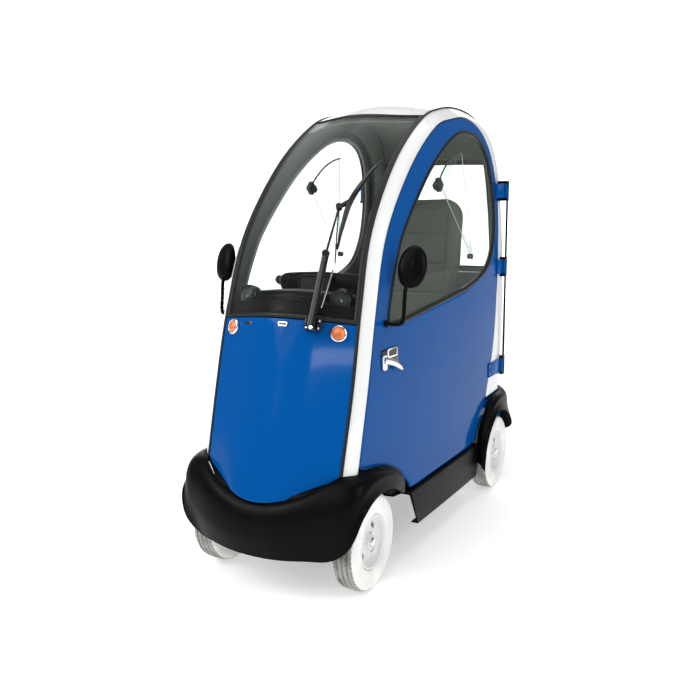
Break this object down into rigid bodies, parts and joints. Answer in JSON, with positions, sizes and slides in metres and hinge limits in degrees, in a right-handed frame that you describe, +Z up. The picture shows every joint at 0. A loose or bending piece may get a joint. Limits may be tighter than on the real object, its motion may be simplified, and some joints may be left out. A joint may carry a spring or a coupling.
{
  "type": "enclosed mobility scooter",
  "caption": "Tall narrow one-seat electric mobility scooter with an enclosed cabin, hinged glazed side doors, a tiller inside and small grey wheels.",
  "frame": {"origin": "on the ground under the middle of the vehicle", "axes": "+Z up, nose towards -Y, +X towards the driver's left"},
  "size_m": [0.8444, 1.6897, 1.6923],
  "materials": {
    "blue_paint": "gloss",
    "white_paint": "gloss",
    "black_plastic": "satin, finely grained",
    "black_rubber": "satin",
    "clear_glass": "clear, gloss",
    "tinted_glass": "tinted, gloss",
    "amber_lens": "gloss, ribbed",
    "red_lens": "gloss",
    "grey_tyre": "matt, non-marking",
    "light_rim": "satin",
    "chrome": "polished",
    "steel": "satin",
    "frame_paint": "satin",
    "grey_vinyl": "matt, grained"
  },
  "bodies": {
    "chassis": {"chassis_frame": "frame_paint", "floor_tub": "black_plastic", "front_axle": "frame_paint", "transaxle": "frame_paint", "battery_pack": "black_plastic", "front_cowl": "blue_paint", "windscreen": "clear_glass", "windscreen_seal": "black_rubber", "roof_panel": "white_paint", "rear_window": "tinted_glass", "rear_panel": "blue_paint", "front_bumper": "black_plastic", "rear_bumper": "black_plastic", "dashboard": "black_plastic", "wiper_motor": "black_plastic", "body_hoop_left": "white_paint", "body_hoop_right": "white_paint", "front_indicator_left": "amber_lens", "front_indicator_right": "amber_lens", "headlight_left": "clear_glass", "headlight_right": "clear_glass", "rear_lamp_left": "red_lens", "rear_lamp_right": "red_lens", "hinge_rail_left": "black_plastic", "hinge_rail_right": "black_plastic"},
    "door_left": {"door_left": "blue_paint", "window_seal_left": "black_rubber", "door_glass_left": "tinted_glass"},
    "door_handle_left": {"door_handle_left": "chrome"},
    "mirror_left": {"mirror_left": "black_plastic"},
    "vent_pane_left": {"vent_pane_left": "tinted_glass"},
    "steering_knuckle_left": {"steering_knuckle_left": "steel"},
    "front_wheel_left": {"front_tyre_left": "grey_tyre", "front_rim_left": "light_rim"},
    "rear_wheel_left": {"rear_tyre_left": "grey_tyre", "rear_rim_left": "light_rim"},
    "armrest_left": {"armrest_left": "grey_vinyl"},
    "door_right": {"door_right": "blue_paint", "window_seal_right": "black_rubber", "door_glass_right": "tinted_glass"},
    "door_handle_right": {"door_handle_right": "chrome"},
    "mirror_right": {"mirror_right": "black_plastic"},
    "vent_pane_right": {"vent_pane_right": "tinted_glass"},
    "steering_knuckle_right": {"steering_knuckle_right": "steel"},
    "front_wheel_right": {"front_tyre_right": "grey_tyre", "front_rim_right": "light_rim"},
    "rear_wheel_right": {"rear_tyre_right": "grey_tyre", "rear_rim_right": "light_rim"},
    "armrest_right": {"armrest_right": "grey_vinyl"},
    "tie_rod": {"tie_rod": "steel"},
    "steering_column": {"steering_column": "frame_paint"},
    "tiller_head": {"tiller_head": "black_plastic"},
    "throttle_lever": {"throttle_lever": "steel"},
    "speed_knob": {"speed_knob": "steel"},
    "horn_button": {"horn_button": "amber_lens"},
    "seat_back": {"seat_back": "grey_vinyl"},
    "wiper_arm": {"wiper_arm": "steel"},
    "wiper_blade": {"wiper_blade": "black_plastic"},
    "seat": {"seat_pedestal": "frame_paint", "seat_cushion": "grey_vinyl"}
  },
  "joints": [
    {"name": "door_left_hinge", "type": "hinge", "parent": "chassis", "child": "door_left", "pos_m": [0.361, 0.706, 1.005], "axis": [0, 0, 1], "range_deg": [0, 75]},
    {"name": "door_handle_left_pull", "type": "hinge", "parent": "door_left", "child": "door_handle_left", "pos_m": [0.3147, -0.507, 0.76], "axis": [0, 0, -1], "range_deg": [0, 25], "stiffness_Nm_per_rad": 0.8, "springref_deg": -5.73},
    {"name": "mirror_left_fold", "type": "hinge", "parent": "door_left", "child": "mirror_left", "pos_m": [0.30562, -0.466, 0.886], "axis": [0, 0, 1], "range_deg": [-36, 18]},
    {"name": "vent_pane_left_swing", "type": "hinge", "parent": "door_left", "child": "vent_pane_left", "pos_m": [0.33279, 0.376, 1.065], "axis": [-0.9968, 0.0282, -0.0746], "range_deg": [0, 30]},
    {"name": "kingpin_left", "type": "hinge", "parent": "chassis", "child": "steering_knuckle_left", "pos_m": [0.2, -0.58, 0.165], "axis": [0, 0, 1], "range_deg": [-25, 25]},
    {"name": "front_wheel_left_spin", "type": "hinge", "parent": "steering_knuckle_left", "child": "front_wheel_left", "pos_m": [0.277, -0.58, 0.165], "axis": [1, 0, 0], "continuous": true},
    {"name": "rear_wheel_left_spin", "type": "hinge", "parent": "chassis", "child": "rear_wheel_left", "pos_m": [0.347, 0.58, 0.165], "axis": [1, 0, 0], "continuous": true},
    {"name": "armrest_left_lift", "type": "hinge", "parent": "seat", "child": "armrest_left", "pos_m": [0.268, 0.405, 0.85], "axis": [-1, 0, 0], "range_deg": [0, 90]},
    {"name": "door_right_hinge", "type": "hinge", "parent": "chassis", "child": "door_right", "pos_m": [-0.361, 0.706, 1.005], "axis": [0, 0, -1], "range_deg": [0, 75]},
    {"name": "door_handle_right_pull", "type": "hinge", "parent": "door_right", "child": "door_handle_right", "pos_m": [-0.3147, -0.507, 0.76], "axis": [0, 0, 1], "range_deg": [0, 25], "stiffness_Nm_per_rad": 0.8, "springref_deg": -5.73},
    {"name": "mirror_right_fold", "type": "hinge", "parent": "door_right", "child": "mirror_right", "pos_m": [-0.30562, -0.466, 0.886], "axis": [0, 0, -1], "range_deg": [-36, 18]},
    {"name": "vent_pane_right_swing", "type": "hinge", "parent": "door_right", "child": "vent_pane_right", "pos_m": [-0.33279, 0.376, 1.065], "axis": [-0.9968, -0.0282, 0.0746], "range_deg": [0, 30]},
    {"name": "kingpin_right", "type": "hinge", "parent": "chassis", "child": "steering_knuckle_right", "pos_m": [-0.2, -0.58, 0.165], "axis": [0, 0, 1], "range_deg": [-25, 25]},
    {"name": "front_wheel_right_spin", "type": "hinge", "parent": "steering_knuckle_right", "child": "front_wheel_right", "pos_m": [-0.277, -0.58, 0.165], "axis": [1, 0, 0], "continuous": true},
    {"name": "rear_wheel_right_spin", "type": "hinge", "parent": "chassis", "child": "rear_wheel_right", "pos_m": [-0.347, 0.58, 0.165], "axis": [1, 0, 0], "continuous": true},
    {"name": "armrest_right_lift", "type": "hinge", "parent": "seat", "child": "armrest_right", "pos_m": [-0.268, 0.405, 0.85], "axis": [-1, 0, 0], "range_deg": [0, 90]},
    {"name": "tie_rod_pivot", "type": "hinge", "parent": "steering_knuckle_left", "child": "tie_rod", "pos_m": [0.198, -0.502, 0.115], "axis": [0, 0, 1], "range_deg": [-25, 25]},
    {"name": "steering_turn", "type": "hinge", "parent": "chassis", "child": "steering_column", "pos_m": [0, -0.56, 0.262], "axis": [0, 0.2725, 0.9622], "range_deg": [-30, 30]},
    {"name": "tiller_tilt", "type": "hinge", "parent": "steering_column", "child": "tiller_head", "pos_m": [0, -0.385, 0.88], "axis": [1, 0, 0], "range_deg": [-20, 8]},
    {"name": "throttle_swing", "type": "hinge", "parent": "tiller_head", "child": "throttle_lever", "pos_m": [0, -0.2819, 0.9598], "axis": [0, 0.309, 0.9511], "range_deg": [-9, 9], "stiffness_Nm_per_rad": 0.5},
    {"name": "speed_knob_turn", "type": "hinge", "parent": "tiller_head", "child": "speed_knob", "pos_m": [-0.035, -0.30366, 1.00935], "axis": [0, 0.309, 0.9511], "range_deg": [-135, 135]},
    {"name": "horn_button_press", "type": "slide", "parent": "tiller_head", "child": "horn_button", "axis": [0, -0.309, -0.9511], "range_m": [0, 0.003], "stiffness_N_per_m": 300, "springref_m": -0.001},
    {"name": "seat_slide", "type": "slide", "parent": "chassis", "child": "seat", "axis": [0, 1, 0], "range_m": [-0.05, 0.04]},
    {"name": "seat_back_fold", "type": "hinge", "parent": "seat", "child": "seat_back", "pos_m": [0, 0.445, 0.7], "axis": [1, 0, 0], "range_deg": [-6, 70]},
    {"name": "wiper_sweep", "type": "hinge", "parent": "chassis", "child": "wiper_arm", "pos_m": [0.13801, -0.66649, 0.89478], "axis": [0.2942, -0.9462, -0.1346], "range_deg": [0, 48]},
    {"name": "wiper_blade_rock", "type": "hinge", "parent": "wiper_arm", "child": "wiper_blade", "pos_m": [0.1438, -0.48443, 1.26828], "axis": [0.9498, 0.2526, -0.1844], "range_deg": [-1.2, 2]}
  ],
  "couplings": [
    {"joint": "kingpin_left", "follows": "steering_turn", "ratio": 0.8},
    {"joint": "kingpin_right", "follows": "steering_turn", "ratio": 0.8},
    {"joint": "tie_rod_pivot", "follows": "steering_turn", "ratio": -0.8}
  ]
}
